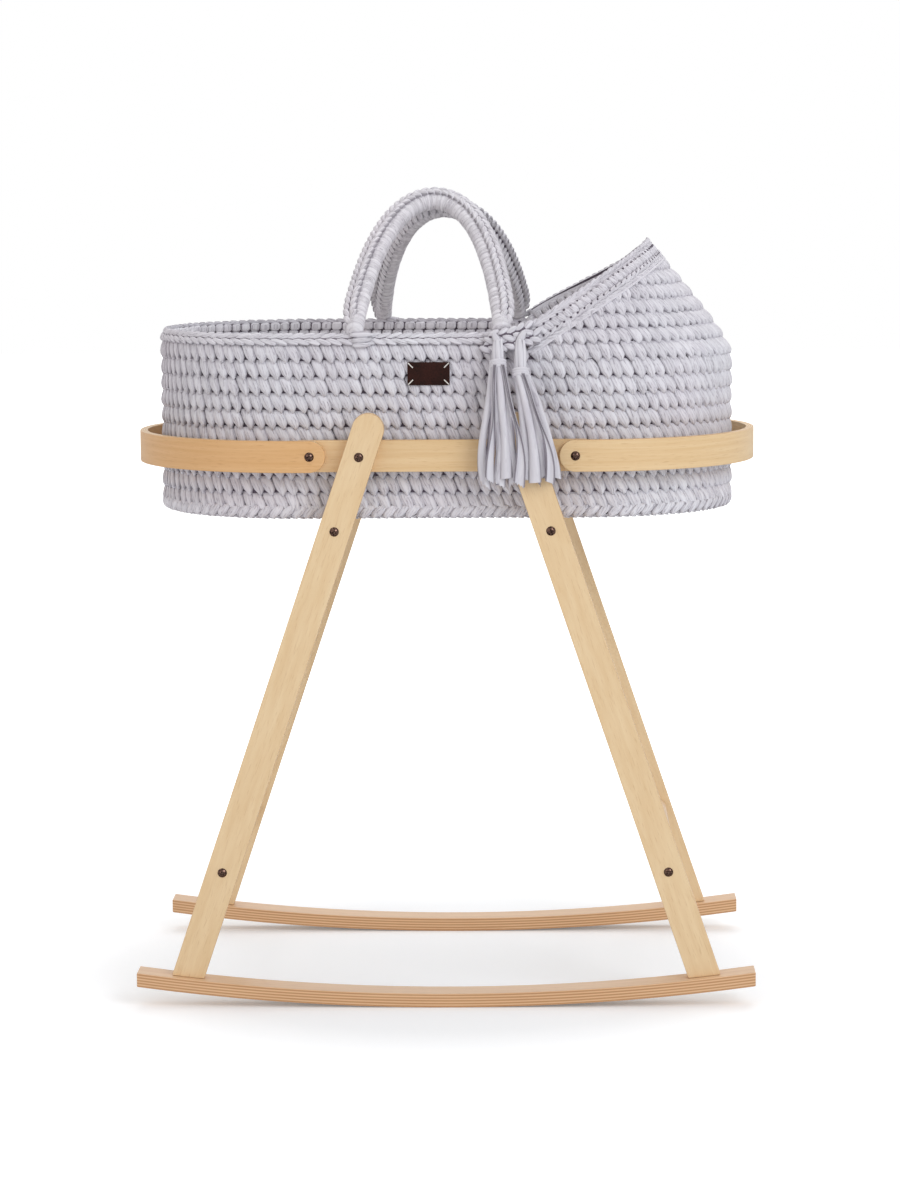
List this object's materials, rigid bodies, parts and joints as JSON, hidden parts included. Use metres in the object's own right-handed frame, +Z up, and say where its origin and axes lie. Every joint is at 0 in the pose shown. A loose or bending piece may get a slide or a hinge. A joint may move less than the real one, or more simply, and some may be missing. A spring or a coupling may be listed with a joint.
{
  "type": "moses basket on a rocking stand",
  "caption": "Crocheted oval moses basket with a hood, carry handles and tassels, held in the bentwood ring of a wooden rocking stand.",
  "frame": {"origin": "floor level under the middle of the stand, at the middle of the bounding box", "axes": "+X along the basket towards the hood, +Y towards the back, +Z up"},
  "size_m": [0.7998, 0.4764, 1.0303],
  "materials": {
    "laminated_beech": "clear satin lacquer over bent laminations",
    "birch_plywood": "clear satin lacquer",
    "bent_birch": "clear satin lacquer over a bent strip",
    "beech_dowel": "clear satin lacquer",
    "bronzed_steel": "antique bronze",
    "zinc_steel": "zinc plated",
    "crochet_yarn": "matt crocheted jersey yarn",
    "jersey_strip": "matt cut jersey",
    "mattress_cotton": "matt woven cotton",
    "brown_leather": "smooth matt leather",
    "white_thread": "twisted thread",
    "cotton_rope": "laid cotton rope"
  },
  "bodies": {
    "stand": {"rocker_front": "laminated_beech", "rocker_back": "laminated_beech", "leg_front_foot": "birch_plywood", "leg_front_head": "birch_plywood", "leg_back_foot": "birch_plywood", "leg_back_head": "birch_plywood", "ring_rail_front": "bent_birch", "ring_rail_back": "bent_birch", "ring_bow_foot": "bent_birch", "ring_bow_head": "bent_birch", "upper_bar_foot": "beech_dowel", "upper_bar_head": "beech_dowel", "lower_bar_foot": "beech_dowel", "lower_bar_head": "beech_dowel", "upper_bar_bolts": "bronzed_steel", "upper_bar_inserts": "zinc_steel", "lower_bar_bolts": "bronzed_steel", "lower_bar_inserts": "zinc_steel", "leg_ring_bolts": "bronzed_steel", "leg_ring_sleeve_nuts": "bronzed_steel", "splice_bolts": "bronzed_steel", "splice_sleeve_nuts": "bronzed_steel", "foot_screws": "zinc_steel", "foot_dowels": "beech_dowel"},
    "basket": {"basket_wall": "crochet_yarn", "basket_bottom": "crochet_yarn", "rim_chain": "crochet_yarn", "base_board": "birch_plywood", "mattress": "mattress_cotton", "hood": "crochet_yarn", "hood_border": "crochet_yarn", "leather_patch": "brown_leather", "patch_stitches": "white_thread", "tassel_cord": "jersey_strip"},
    "front_handle": {"handle_front_sleeve": "crochet_yarn", "handle_front_core": "cotton_rope", "handle_front_braid": "crochet_yarn"},
    "back_handle": {"handle_back_sleeve": "crochet_yarn", "handle_back_core": "cotton_rope", "handle_back_braid": "crochet_yarn"},
    "left_tassel": {"tassel_left_head": "jersey_strip", "tassel_left_wrap": "jersey_strip", "tassel_left_strips": "jersey_strip"},
    "right_tassel": {"tassel_right_head": "jersey_strip", "tassel_right_wrap": "jersey_strip", "tassel_right_strips": "jersey_strip"}
  },
  "joints": [
    {"name": "basket_lift", "type": "slide", "parent": "stand", "child": "basket", "axis": [0, 0, 1], "range_m": [0, 0.25]},
    {"name": "front_handle_fold", "type": "hinge", "parent": "basket", "child": "front_handle", "pos_m": [-0.017, -0.185, 0.85888], "axis": [1, 0, 0], "range_deg": [0, 110]},
    {"name": "back_handle_fold", "type": "hinge", "parent": "basket", "child": "back_handle", "pos_m": [0.002, 0.185, 0.85888], "axis": [-1, 0, 0], "range_deg": [0, 110]},
    {"name": "left_tassel_swing", "type": "hinge", "parent": "basket", "child": "left_tassel", "pos_m": [0.07, -0.206, 0.83598], "axis": [-1, 0, 0], "range_deg": [0, 60]},
    {"name": "right_tassel_swing", "type": "hinge", "parent": "basket", "child": "right_tassel", "pos_m": [0.098, -0.206, 0.83598], "axis": [-1, 0, 0], "range_deg": [0, 60]}
  ]
}
